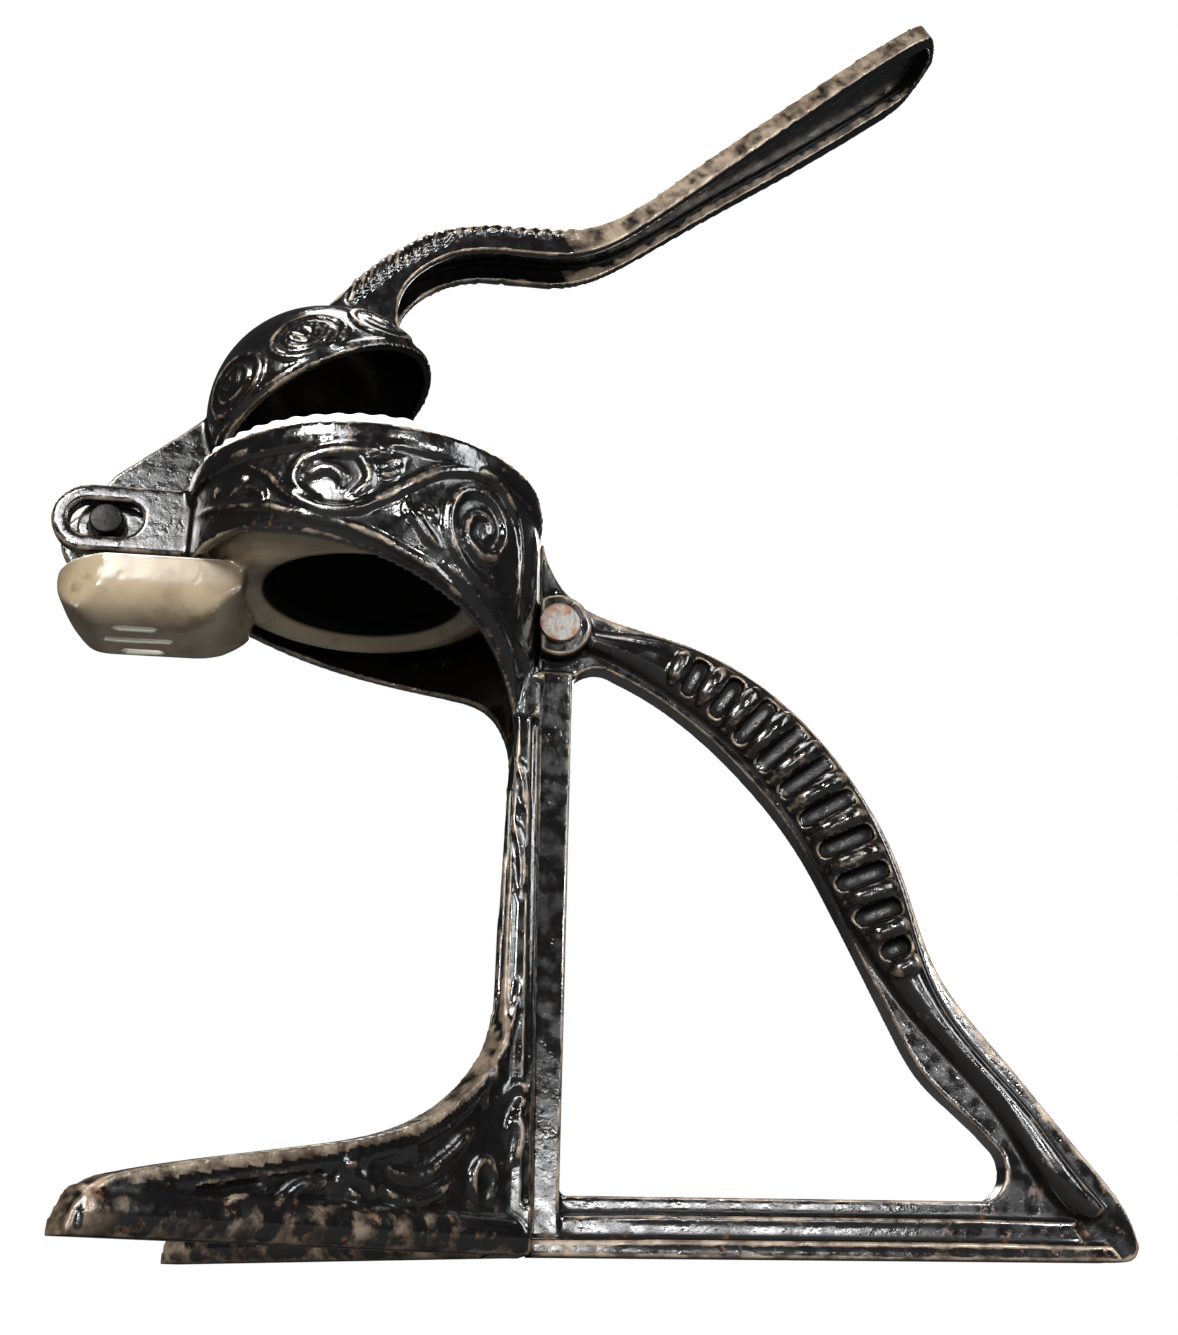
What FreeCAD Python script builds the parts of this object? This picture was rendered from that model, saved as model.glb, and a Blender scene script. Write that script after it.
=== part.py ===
import FreeCAD, Part
import math
import os

# Lever citrus press: a cast stand with a bowl ring, a cast brace behind it, a drop-in
# ceramic juice cup, and a press lever with a hollow dome on a loose hinge pin.
# Millimetres. +Z is up, +X points to the back of the press, Y = 0 is its middle plane.
# The origin is on the surface that the press stands on, in the foot of the column.

# Driving dimensions: bowl ring
ring_top = 198.0
ring_height = 26.0
ring_bottom = ring_top - ring_height
ring_outer_r = 48.3
ring_wall = 2.8
ring_rim_r = ring_outer_r + 1.7
ring_rim_height = 4.5
ring_bead_r = 1.4
ring_bead_drop = 5.4

# Driving dimensions: column, hood and legs of the stand
column_back_x = -2.2
column_front_x = -13.0
column_lean = 0.036
column_half_width = 13.0
column_flange = 3.6
column_web = 3.0
column_rebate = 2.4
column_top = ring_bottom - 26.0
ring_back_step = 0.5
ring_x = column_back_x - ring_back_step - ring_outer_r
hood_wall = 3.2
hood_back_step = 0.6
foot_height = 11.0
leg_splay = 43.4
leg_root_x = -6.0
leg_root_y = 8.5
leg_length = 124.0
leg_panel = 4.0
leg_top_rim = 7.0
leg_rim_depth = 5.0
leg_foot_r = 5.2
leg_foot_axis = 4.0

# Driving dimensions: hinge
pivot_ahead = 21.7
pivot_x = ring_x - ring_outer_r - pivot_ahead
pivot_z = ring_top - 12.0
pin_r = 4.5
pin_length = 19.4
pin_running_fit = 0.05
slot_travel = 4.5
slot_height = 10.6
lug_half_gap = 5.4
lug_thickness = 4.6
lug_wall = 4.6
lug_back_x = ring_x - ring_outer_r + 4.3

# Driving dimensions: brace
brace_gap = 0.1
brace_half = 3.6
strip_half = 6.0
strip_back_x = 4.9
strip_back_lean = 0.0155
bar_height = 14.0
bar_foot_half = 7.4
bar_foot_height = 3.6
heel_x = 152.5
boss_x = 3.0
boss_z = ring_bottom - 9.0
boss_r = 9.0
boss_half = 8.6
tongue_half = 3.0
tongue_reach = 7.0
tongue_rise = 8.5
slot_count = 10
slot_pitch = 10.3
slot_width = 4.8
slot_depth = 5.0
first_slot_at = 40.5

# Driving dimensions: rivet
rivet_r = 3.5
rivet_head_r = 5.6
rivet_head_height = 1.8

# Driving dimensions: juice cup
cup_gap = 0.35
cup_wall = 3.15
cup_outer_r = ring_outer_r - ring_wall - cup_gap
cup_inner_r = cup_outer_r - cup_wall
cup_rim_height = 3.4
cup_rim_r = ring_rim_r - 1.4
cup_lip_r = cup_inner_r + 2.3
cup_bottom = ring_bottom - 3.0
cup_floor = cup_bottom + 4.2
cup_bend_z = cup_bottom + 17.0
cup_foot_r = cup_inner_r - 8.0
cone_base_r = cup_foot_r - 5.5
cone_tip_z = ring_top + 6.0
cone_tip_r = 3.5
cone_wall = 3.2
well_half = 19.0
well_floor_half = 10.0
well_reach = 36.85
well_front_x = ring_x - cup_outer_r - well_reach
well_back_x = ring_x - cup_outer_r + 14.15
well_gate_half = 11.0
well_gate_top = cup_bottom + 8.0
well_bottom = cup_bottom - 14.6
well_top = ring_bottom - 0.6
well_wall = 3.0
drain_width = 2.4
drain_pitch = 8.0
drain_lengths = (11.0, 18.0, 11.0)
drain_x = ring_x - cup_outer_r - 13.85

# Driving dimensions: press lever, given with the lever pressed down
open_angle = 31.0
dome_r = 34.6
dome_wall = 2.6
dome_x = ring_x - 1.2
dome_z = ring_top - 8.0
dome_mouth_z = dome_z + 0.8
arm_width = 10.0
boss_lever_r = 8.4
arm_notch_gap = 0.9
lever_width = 18.0
lever_wall = 2.8
lever_reach = 251.2
lever_tip_x = dome_x + lever_reach

X = FreeCAD.Vector(1, 0, 0)
Y = FreeCAD.Vector(0, 1, 0)
Z = FreeCAD.Vector(0, 0, 1)


def side_point(x, z, y=0.0):
    return FreeCAD.Vector(x, y, z)


def curve(points, y=0.0):
    """One smooth edge through side-view points (x, z)."""
    spline = Part.BSplineCurve()
    spline.interpolate([side_point(x, z, y) for x, z in points])
    return spline.toShape()


def line(start, end):
    return Part.LineSegment(side_point(*start), side_point(*end)).toShape()


def bend(start, middle, end):
    return Part.Arc(side_point(*start), side_point(*middle), side_point(*end)).toShape()


def slab(edges, half, middle_y=0.0):
    """A closed side-view outline, as thick as two halves about middle_y."""
    face = Part.Face(Part.Wire(edges))
    solid = face.extrude(Y * (2.0 * half))
    solid.translate(FreeCAD.Vector(0, middle_y - half, 0))
    return solid


def polygon(points, half, middle_y=0.0):
    closed = points + points[:1]
    return slab([line(a, b) for a, b in zip(closed, closed[1:])], half, middle_y)


def block(x_low, x_high, y_low, y_high, z_low, z_high):
    size = (x_high - x_low, y_high - y_low, z_high - z_low)
    return Part.makeBox(*size, FreeCAD.Vector(x_low, y_low, z_low))


def drum(radius, z_low, z_high, x=ring_x):
    return Part.makeCylinder(radius, z_high - z_low, FreeCAD.Vector(x, 0, z_low), Z)


def cross_pin(radius, half, x, z):
    return Part.makeCylinder(radius, 2.0 * half, FreeCAD.Vector(x, -half, z), Y)


def mirrored(solid):
    return solid.mirror(FreeCAD.Vector(0, 0, 0), Y)


def oval(middle, along, across, half_length, half_width):
    """A closed oval about middle, always started and turned the same way."""
    points = []
    for step in range(16):
        turn = math.pi * (step / 8.0 + 1.0)
        forward = along * (half_length * math.cos(turn))
        points.append(middle + forward + across * (half_width * math.sin(turn)))
    spline = Part.BSplineCurve()
    spline.interpolate(points, PeriodicFlag=True)
    return Part.Wire(spline.toShape())


def both_sides(solid):
    return [solid, mirrored(solid)]


def joined(solids):
    return solids[0].multiFuse(solids[1:]).removeSplitter()


def save(shape, name):
    solids = shape.Solids
    body = solids[0] if len(solids) == 1 else Part.makeCompound(solids)
    body.exportStep(os.path.join("parts", name + ".step"))
    print(name, "solids", len(solids), "valid", body.isValid(), "volume", round(body.Volume))


# Bowl ring and hood

# The hood's outline narrows from the ring to the column: height, half length, half width.
hood_sections = (
    (ring_bottom + 4.0, ring_outer_r - 0.25, ring_outer_r - 0.25),
    (ring_bottom - 4.0, ring_outer_r - 1.6, ring_outer_r - 1.1),
    (ring_bottom - 12.0, 0.828 * ring_outer_r, 0.87 * ring_outer_r),
    (ring_bottom - 21.0, 0.559 * ring_outer_r, 0.621 * ring_outer_r),
    (ring_bottom - 31.0, 0.331 * ring_outer_r, 0.393 * ring_outer_r),
    (ring_bottom - 41.0, 12.0, column_half_width + 1.0),
    (ring_bottom - 51.0, 10.6, column_half_width - 0.9),
)

# The hood's lower edge, seen from the side: share of the ring's width in front of the
# column's back, and drop below the ring.
hood_edge_run = ((0.847, 0.0), (0.671, 3.5), (0.536, 6.7), (0.402, 10.5), (0.267, 15.5), (0.184, 20.0),
                 (0.127, 26.0), (0.087, 34.0), (0.063, 44.0), (0.0445, 54.0))
hood_edge = tuple((column_back_x - share * 2.0 * ring_outer_r, ring_bottom - drop)
                  for share, drop in hood_edge_run)


def hood_loft(wall):
    wires = []
    for z, half_length, half_width in hood_sections:
        centre_x = column_back_x - hood_back_step - half_length
        if z > ring_bottom:
            centre_x = ring_x
        middle = FreeCAD.Vector(centre_x, 0, z)
        wires.append(oval(middle, X, Y, half_length - wall, half_width - wall))
    return Part.makeLoft(wires, True)


def hood():
    shell = hood_loft(0.0).cut(hood_loft(hood_wall))
    far = ring_x - ring_outer_r - 30.0
    behind = column_back_x + 5.0
    low = hood_edge[-1][1]
    high = ring_bottom + 1.0
    start_x = hood_edge[0][0] - 6.0
    edge = curve(hood_edge)
    below = slab([edge, line(hood_edge[-1], (behind, low)), line((behind, low), (behind, low - 28.0)),
                  line((behind, low - 28.0), (far, low - 28.0)), line((far, low - 28.0), (far, high)),
                  line((far, high), (start_x, high)), line((start_x, high), hood_edge[0])], 60.0)
    cup_room = drum(ring_outer_r - ring_wall, ring_bottom - 1.0, ring_top)
    return shell.cut(below).cut(cup_room)


def ring():
    inner_r = ring_outer_r - ring_wall
    wall = drum(ring_outer_r, ring_bottom, ring_top)
    rim = drum(ring_rim_r, ring_top - ring_rim_height, ring_top)
    bead = Part.makeTorus(ring_outer_r, ring_bead_r,
                          FreeCAD.Vector(ring_x, 0, ring_top - ring_bead_drop), Z)
    solid = joined([wall, rim, bead])
    return solid.cut(drum(inner_r, ring_bottom - 1.0, ring_top + 1.0))


# Hinge lugs

lug_half_height = slot_height / 2.0 + lug_wall


def lug():
    """The near lug: a plate with a round front and the long hole in it."""
    low, high = pivot_z - lug_half_height, pivot_z + lug_half_height
    front = pivot_x - slot_travel
    tip = front - slot_height / 2.0 - lug_wall
    outline = [line((lug_back_x, low), (front, low)), bend((front, low), (tip, pivot_z), (front, high)),
               line((front, high), (lug_back_x, high)), line((lug_back_x, high), (lug_back_x, low))]
    plate = slab(outline, lug_thickness / 2.0, -(lug_half_gap + lug_thickness / 2.0))
    inside = drum(ring_outer_r - ring_wall / 2.0, ring_bottom, ring_top)
    return plate.cut(hinge_slot()).cut(inside)


def hinge_slot():
    r = slot_height / 2.0
    a, b = pivot_x - slot_travel, pivot_x + slot_travel
    low, high = pivot_z - r, pivot_z + r
    outline = [line((a, low), (b, low)), bend((b, low), (b + r, pivot_z), (b, high)),
               line((b, high), (a, high)), bend((a, high), (a - r, pivot_z), (a, low))]
    return slab(outline, 30.0)


# Column and legs of the stand

def front_x(z):
    return column_front_x + column_lean * z


def column():
    base, top = 0.0, column_top
    inside = column_half_width - column_flange
    outline = [(column_back_x, base), (column_back_x, top), (front_x(top), top), (front_x(base), base)]
    whole = polygon(outline, column_half_width)
    channel = [(column_back_x - column_web, foot_height), (column_back_x - column_web, top + 1.0),
               (front_x(top) - 9.0, top + 1.0), (front_x(base) - 9.0, foot_height)]
    column = whole.cut(polygon(channel, inside))
    edge_x = column_back_x - column_rebate
    rebate = block(edge_x, 0.0, inside, column_half_width + 1.0, foot_height, top - 12.0)
    return column.cut(rebate).cut(mirrored(rebate))


# The leg seen square on: share of its length out from the root, height.
leg_top_shares = ((0.033, 64.0), (0.067, 49.0), (0.15, 37.0), (0.29, 27.0), (0.525, 20.0), (0.75, 15.4),
                  (0.917, 11.3))
leg_top_edge = tuple((share * leg_length, z) for share, z in leg_top_shares)
leg_nose = (leg_top_edge[-1], (0.975 * leg_length, 7.2), (leg_length, 0.0))


def leg():
    """The near leg, made along +X and then turned out to its place."""
    top = curve(leg_top_edge)
    nose = bend(*leg_nose)
    panel = slab([top, nose, line(leg_nose[-1], (0.0, 0.0)), line((0.0, 0.0), (0.0, 64.0)),
                  line((0.0, 64.0), leg_top_edge[0])], leg_panel / 2.0)
    lowered = [(s, z - leg_rim_depth) for s, z in leg_top_edge]
    under = curve(lowered)
    rim = slab([top, line(leg_top_edge[-1], lowered[-1]), under, line(lowered[0], leg_top_edge[0])],
               leg_top_rim / 2.0)
    rod = Part.makeCylinder(leg_foot_r, leg_length - 3.0, FreeCAD.Vector(0, 0, leg_foot_axis),
                            FreeCAD.Vector(1, 0, 0))
    cap_start = (0.84 * leg_length, 13.3)
    nose_cap = slab([line((cap_start[0], 0.0), cap_start), line(cap_start, leg_nose[0]), bend(*leg_nose),
                     line(leg_nose[-1], (cap_start[0], 0.0))], leg_top_rim / 2.0)
    above = block(-5.0, leg_length + 5.0, -20.0, 20.0, 0.0, 80.0)
    solid = joined([panel, rim, rod.common(above), nose_cap])
    solid.rotate(FreeCAD.Vector(0, 0, 0), Z, 180.0 + leg_splay)
    solid.translate(FreeCAD.Vector(leg_root_x, -leg_root_y, 0))
    return solid


def tongue():
    """The stand's tail inside the brace's head, which the rivet goes through."""
    front, back = column_back_x - 4.0, boss_x + tongue_reach
    low, high = boss_z - tongue_rise, boss_z + tongue_rise
    outline = [(front, low), (back, low), (back, high), (front, high)]
    return polygon(outline, tongue_half).cut(hood_loft(hood_wall))


def bowl_stand():
    foot = block(front_x(0.0) + 1.0, column_back_x, -column_half_width, column_half_width, 0.0, foot_height)
    arm_gap = block(pivot_x - 2.0 * lug_half_height, ring_x - cup_foot_r, -lug_half_gap, lug_half_gap,
                    ring_bottom - 1.0, ring_top + 1.0)
    rivet_hole = cross_pin(rivet_r, 20.0, boss_x, boss_z)
    return joined([ring().cut(arm_gap), hood().cut(arm_gap), column(), foot, tongue().cut(rivet_hole)]
                  + both_sides(leg()) + both_sides(lug()))


# Brace

# These three lines are drawn for a rivet 163 high and stretch with the rivet's height.
brace_drawn_rise = 163.0


def stretched(points):
    return tuple((x, z * boss_z / brace_drawn_rise) for x, z in points)


brace_outer = stretched(((heel_x, 4.0), (150.0, 12.0), (141.0, 24.5), (121.5, 49.0), (105.5, 71.0),
                         (97.5, 98.0), (85.0, 124.0), (66.0, 146.0), (43.0, 160.0), (21.0, 166.5),
                         (7.5, 173.0), (1.2, 182.0), (-1.4, 191.0)))
brace_inner = stretched(((19.5, 151.1), (36.5, 141.2), (54.3, 125.0), (69.3, 105.6), (81.5, 81.7),
                         (93.1, 56.5), (99.8, 44.3), (108.8, 35.4), (116.7, 27.6)))
ridge_line = stretched(((boss_x, brace_drawn_rise), (24.0, 157.5), (41.0, 150.5), (59.0, 137.5),
                        (73.0, 121.5), (83.0, 103.0), (90.0, 85.0), (96.0, 71.0), (109.0, 51.0),
                        (128.0, 29.0), (144.5, 7.0)))

# The ridge swells over the slots: distance along it, half width, half thickness.
ridge_sections = ((0.0, 5.0, 7.0), (20.0, 5.5, 7.4), (38.0, 9.0, 8.6), (60.0, 10.5, 9.4),
                  (90.0, 11.0, 9.6), (120.0, 10.0, 9.2), (138.0, 7.0, 8.4), (155.0, 4.6, 7.4),
                  (185.0, 4.6, 7.0), (215.0, 4.0, 6.2))
slot_lengths = (12.0, 14.0, 16.5, 18.5, 18.5, 18.0, 17.0, 16.0, 14.0, 9.0)


def strip_x(z):
    return strip_back_x + strip_back_lean * z


def brace_plate():
    front = column_back_x + brace_gap
    outer = curve(brace_outer)
    heel = bend((heel_x - 4.0, 0.0), (heel_x - 1.17, 1.17), brace_outer[0])
    plate = slab([outer, line(brace_outer[-1], (front, brace_outer[-1][1])),
                  line((front, brace_outer[-1][1]), (front, 0.0)), line((front, 0.0), (heel_x - 4.0, 0.0)),
                  heel], brace_half)
    low = (strip_x(16.0), bar_height + 2.0)
    head_z = boss_z - 15.0
    high = (strip_x(head_z), head_z)
    last = brace_inner[-1]
    end = (113.5, bar_height)
    opening = slab([line(low, high), bend(high, (11.5, head_z + 4.0), brace_inner[0]), curve(brace_inner),
                    bend(last, (119.0, 19.5), end), line(end, (low[0] + 2.0, bar_height)),
                    bend((low[0] + 2.0, bar_height), (low[0] + 0.6, bar_height + 0.6), low)], 20.0)
    return plate.cut(opening), opening


def along_ridge(edge, distance):
    """Point and direction at a distance along the ridge line."""
    at = edge.getParameterByLength(distance)
    return edge.valueAt(at), edge.tangentAt(at)


def ridge():
    edge = curve(ridge_line)
    length = edge.Length
    wires = []
    for distance, half_width, half_thick in ridge_sections:
        point, way = along_ridge(edge, min(distance, length))
        across = way.cross(Y)
        wires.append(oval(point, across, Y, half_width, half_thick))
    return Part.makeLoft(wires, True)


def slot_cutters():
    edge = curve(ridge_line)
    cutters = []
    for index in range(slot_count):
        point, way = along_ridge(edge, first_slot_at + index * slot_pitch)
        length = slot_lengths[min(index, len(slot_lengths) - 1)]
        half = (length - slot_width) / 2.0
        across = way.cross(Y)
        turn = math.degrees(math.atan2(across.z, across.x))
        r = slot_width / 2.0
        outline = [line((-half, -r), (half, -r)), bend((half, -r), (half + r, 0.0), (half, r)),
                   line((half, r), (-half, r)), bend((-half, r), (-half - r, 0.0), (-half, -r))]
        cutter = slab(outline, slot_depth, -ridge_sections[4][2])
        cutter.rotate(FreeCAD.Vector(0, 0, 0), Y, -turn)
        cutter.translate(point)
        cutters += both_sides(cutter)
    return cutters


def rear_brace():
    plate, opening = brace_plate()
    front = column_back_x + brace_gap
    head_z = boss_z - 13.0
    strip = polygon([(front, 0.0), (strip_x(0.0), 0.0), (strip_x(head_z), head_z), (front, head_z)],
                    strip_half)
    foot_bar = polygon([(front, 0.0), (heel_x - 6.0, 0.0), (heel_x - 9.0, bar_foot_height),
                        (front, bar_foot_height)], bar_foot_half)
    cove = polygon([(front, 0.0), (heel_x - 12.0, 0.0), (heel_x - 18.0, 9.0), (front, 9.0)], brace_half + 1.6)
    boss = cross_pin(boss_r, boss_half, boss_x, boss_z)
    boss = boss.cut(block(-40.0, front, -20.0, 20.0, 0.0, 250.0))
    ridge_bar = ridge().cut(opening).cut(block(-40.0, front, -20.0, 20.0, 0.0, 250.0))
    ridge_bar = ridge_bar.common(block(-40.0, heel_x, -20.0, 20.0, 0.0, 250.0))
    solid = joined([plate, strip, foot_bar, cove, boss, ridge_bar])
    for cutter in slot_cutters():
        solid = solid.cut(cutter)
    fork = block(-40.0, boss_x + tongue_reach + brace_gap * 2.0, -tongue_half - brace_gap,
                 tongue_half + brace_gap, boss_z - tongue_rise - brace_gap, boss_z + tongue_rise + brace_gap)
    bead_room = drum(ring_outer_r + ring_bead_r + brace_gap, ring_top - ring_bead_drop - 3.0, ring_top + 2.0)
    return solid.cut(fork).cut(bead_room).cut(cross_pin(rivet_r, 20.0, boss_x, boss_z))


def brace_rivet():
    shank = cross_pin(rivet_r, boss_half, boss_x, boss_z)
    heads = []
    for side in (-1, 1):
        start = FreeCAD.Vector(boss_x, side * boss_half, boss_z)
        heads.append(Part.makeCylinder(rivet_head_r, rivet_head_height, start, Y * side))
    return joined([shank] + heads)


# Juice cup

def rise(start, end):
    return Part.LineSegment(cup_point(*start), cup_point(*end)).toShape()


def cup_point(radius, z):
    return FreeCAD.Vector(ring_x + radius, 0, z)


def round_edge(start, middle, end):
    return Part.Arc(cup_point(*start), cup_point(*middle), cup_point(*end)).toShape()


def turned_cup(outer_r, rim_top):
    """The rim, wall, trough and cone, turned about the ring's axis."""
    foot = (cup_foot_r, cup_bottom)
    hollow_r = cone_base_r - cone_wall
    floor = (cup_foot_r, cup_floor)
    edges = [rise((cup_lip_r, rim_top), (cup_rim_r, rim_top)),
             rise((cup_rim_r, rim_top), (cup_rim_r, ring_top)),
             rise((cup_rim_r, ring_top), (outer_r, ring_top)),
             rise((outer_r, ring_top), (outer_r, cup_bend_z)),
             round_edge((outer_r, cup_bend_z), (outer_r - 2.9, cup_bend_z - 11.2), foot),
             round_edge(foot, (hollow_r + 2.8, cup_bottom + 2.3), (hollow_r, cup_bottom + 7.5)),
             rise((hollow_r, cup_bottom + 7.5), (cone_tip_r + 1.0, cone_tip_z - 6.5)),
             rise((cone_tip_r + 1.0, cone_tip_z - 6.5), (0.0, cone_tip_z - 5.5)),
             rise((0.0, cone_tip_z - 5.5), (0.0, cone_tip_z)),
             round_edge((0.0, cone_tip_z), (cone_tip_r * 0.75, cone_tip_z - 0.9),
                        (cone_tip_r + 1.2, cone_tip_z - 3.4)),
             rise((cone_tip_r + 1.2, cone_tip_z - 3.4), (cone_base_r, cup_floor + 4.8)),
             round_edge((cone_base_r, cup_floor + 4.8), (cone_base_r + 2.0, cup_floor + 1.3), floor),
             round_edge(floor, (cup_inner_r - 2.4, cup_floor + 3.2), (cup_inner_r, cup_floor + 10.8)),
             rise((cup_inner_r, cup_floor + 10.8), (cup_inner_r, ring_top - 7.0)),
             rise((cup_inner_r, ring_top - 7.0), (cup_lip_r, rim_top))]
    face = Part.Face(Part.Wire(edges))
    return face.revolve(FreeCAD.Vector(ring_x, 0, 0), Z, 360)


def well_outline(inset):
    """The juice well from above, as a slab between its floor and its top."""
    half = well_half - inset
    front = well_front_x + inset
    shoulder = front + 24.0
    points = [(well_back_x, -half), (shoulder, -half)]
    edges = [Part.LineSegment(FreeCAD.Vector(well_back_x, half, 0),
                              FreeCAD.Vector(well_back_x, -half, 0)).toShape(),
             Part.LineSegment(FreeCAD.Vector(*points[0], 0), FreeCAD.Vector(*points[1], 0)).toShape()]
    nose = Part.BSplineCurve()
    nose.interpolate([FreeCAD.Vector(shoulder, -half, 0), FreeCAD.Vector(front + 6.5, -half * 0.72, 0),
                      FreeCAD.Vector(front, 0, 0), FreeCAD.Vector(front + 6.5, half * 0.72, 0),
                      FreeCAD.Vector(shoulder, half, 0)])
    edges.append(nose.toShape())
    edges.append(Part.LineSegment(FreeCAD.Vector(shoulder, half, 0),
                                  FreeCAD.Vector(well_back_x, half, 0)).toShape())
    return Part.Face(Part.Wire(edges))


def well_section(inset):
    """The well cut square across: a flat floor and round flanks."""
    low = well_bottom + inset
    half = well_half - inset
    floor_half = well_floor_half - inset * 0.6
    lid = well_top + 4.0

    def at(y, z):
        return FreeCAD.Vector(well_front_x - 7.0, y, z)

    edges = [Part.LineSegment(at(-floor_half, low), at(floor_half, low)).toShape(),
             Part.Arc(at(floor_half, low), at(half * 0.82, low + 3.1), at(half - 0.6, low + 10.0)).toShape(),
             Part.LineSegment(at(half - 0.6, low + 10.0), at(half, lid)).toShape(),
             Part.LineSegment(at(half, lid), at(-half, lid)).toShape(),
             Part.LineSegment(at(-half, lid), at(0.6 - half, low + 10.0)).toShape(),
             Part.Arc(at(0.6 - half, low + 10.0), at(-half * 0.82, low + 3.1),
                      at(-floor_half, low)).toShape()]
    return Part.Face(Part.Wire(edges)).extrude(FreeCAD.Vector(80.0, 0, 0))


def well_body(inset):
    plan = well_outline(inset)
    plan.translate(FreeCAD.Vector(0, 0, well_bottom + inset))
    tall = plan.extrude(Z * (well_top - well_bottom + 2.0))
    low = well_bottom + inset
    front = well_front_x + inset
    back = well_back_x + 7.0
    lid = well_top + 4.0
    keel = slab([bend((front, lid), (front + 3.6, low + 6.5), (front + 14.0, low)),
                 line((front + 14.0, low), (well_back_x - 15.0, low)),
                 curve(((well_back_x - 15.0, low), (well_back_x - 8.0, low + 2.6), (well_back_x, low + 9.5),
                        (back, cup_bottom + 1.5))),
                 line((back, cup_bottom + 1.5), (back, lid)), line((back, lid), (front, lid))], 40.0)
    return tall.common(keel).common(well_section(inset))


def drains():
    slots = []
    for index, length in enumerate(drain_lengths):
        y = (index - 1) * drain_pitch
        half = length / 2.0
        r = drain_width / 2.0
        low, high = well_bottom - 3.0, well_bottom + 9.0
        box = block(drain_x - half + r, drain_x + half - r, y - r, y + r, low, high)
        ends = [Part.makeCylinder(r, high - low, FreeCAD.Vector(drain_x + side * (half - r), y, low), Z)
                for side in (-1, 1)]
        slots += [box] + ends
    return slots


def juice_cup():
    outer_r = cup_outer_r
    rim_top = ring_top + cup_rim_height
    turned = turned_cup(outer_r, rim_top)
    below_top = block(-200.0, 0.0, -60.0, 60.0, 100.0, well_top)
    hollow = drum(cup_foot_r - 1.5, 100.0, 300.0)
    solid = joined([turned, well_body(0.0).common(below_top).cut(hollow)])
    inner_well = well_body(well_wall)
    front_x_limit = ring_x - outer_r - 1.0
    gate_back = ring_x - cup_foot_r + 1.0
    in_front = block(-200.0, front_x_limit, -60.0, 60.0, 100.0, well_top + 1.0)
    under = block(-200.0, gate_back, -60.0, 60.0, 100.0, cup_bottom - 1.5)
    gate = block(front_x_limit - 1.0, gate_back, -well_gate_half, well_gate_half, cup_bottom - 4.0,
                 well_gate_top)
    solid = solid.cut(inner_well.common(in_front)).cut(inner_well.common(under)).cut(gate)
    notch = block(ring_x - cup_rim_r - 2.0, ring_x - cup_inner_r + 8.0, -arm_width / 2.0 - arm_notch_gap,
                  arm_width / 2.0 + arm_notch_gap, pivot_z - 6.0, rim_top + 1.0)
    solid = solid.cut(notch)
    for slot in drains():
        solid = solid.cut(slot)
    return solid


# Press lever, modelled pressed down and then swung open

# Upper line of the neck and handle, and the line of their lower rims, both measured from
# the dome's middle: along the lever, up.
lever_top_run = ((8.2, 29.0), (23.5, 34.9), (40.2, 39.9), (55.2, 41.9), (64.2, 40.8), (74.2, 37.4),
                 (83.2, 32.3), (93.2, 26.6), (104.2, 23.4), (118.2, 23.6), (140.2, 27.4), (182.2, 34.2),
                 (227.2, 41.6), (lever_reach, 45.0))
lever_rim_run = ((31.2, 13.0), (34.7, 23.0), (41.2, 29.3), (49.2, 32.3), (58.2, 32.9), (66.2, 31.0),
                 (80.2, 23.2), (90.2, 17.8), (100.2, 15.7), (114.2, 16.4), (140.2, 20.5), (182.2, 26.8),
                 (223.2, 33.4), (lever_reach, 37.6))


def from_dome(points):
    return tuple((dome_x + x, dome_z + z) for x, z in points)


lever_top = from_dome(lever_top_run)
lever_rim = from_dome(lever_rim_run)


def lowered(points, distance):
    return tuple((x, z - distance) for x, z in points)


def handle():
    """The neck and handle: a channel that is open below, with a round end."""
    half = lever_width / 2.0
    top, rim = curve(lever_top), curve(lever_rim)
    bar = slab([top, line(lever_top[-1], lever_rim[-1]), rim, line(lever_rim[0], lever_top[0])], half)
    end_x = lever_tip_x - half
    flat = block(dome_x - 30.0, end_x, -40.0, 40.0, dome_z - 40.0, dome_z + 110.0)
    tip = Part.makeCylinder(half, 80.0, FreeCAD.Vector(end_x, 0, dome_z), Z)
    bar = bar.common(joined([flat, tip]))
    roof = lowered(lever_top[1:], lever_wall)
    floor = lowered(lever_rim[1:], 6.0)
    channel = slab([curve(roof), line(roof[-1], floor[-1]), curve(floor), line(floor[0], roof[0])],
                   half - lever_wall)
    inner_tip = Part.makeCylinder(half - lever_wall, 80.0, FreeCAD.Vector(end_x, 0, dome_z), Z)
    return bar, channel.common(joined([flat, inner_tip]))


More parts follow.
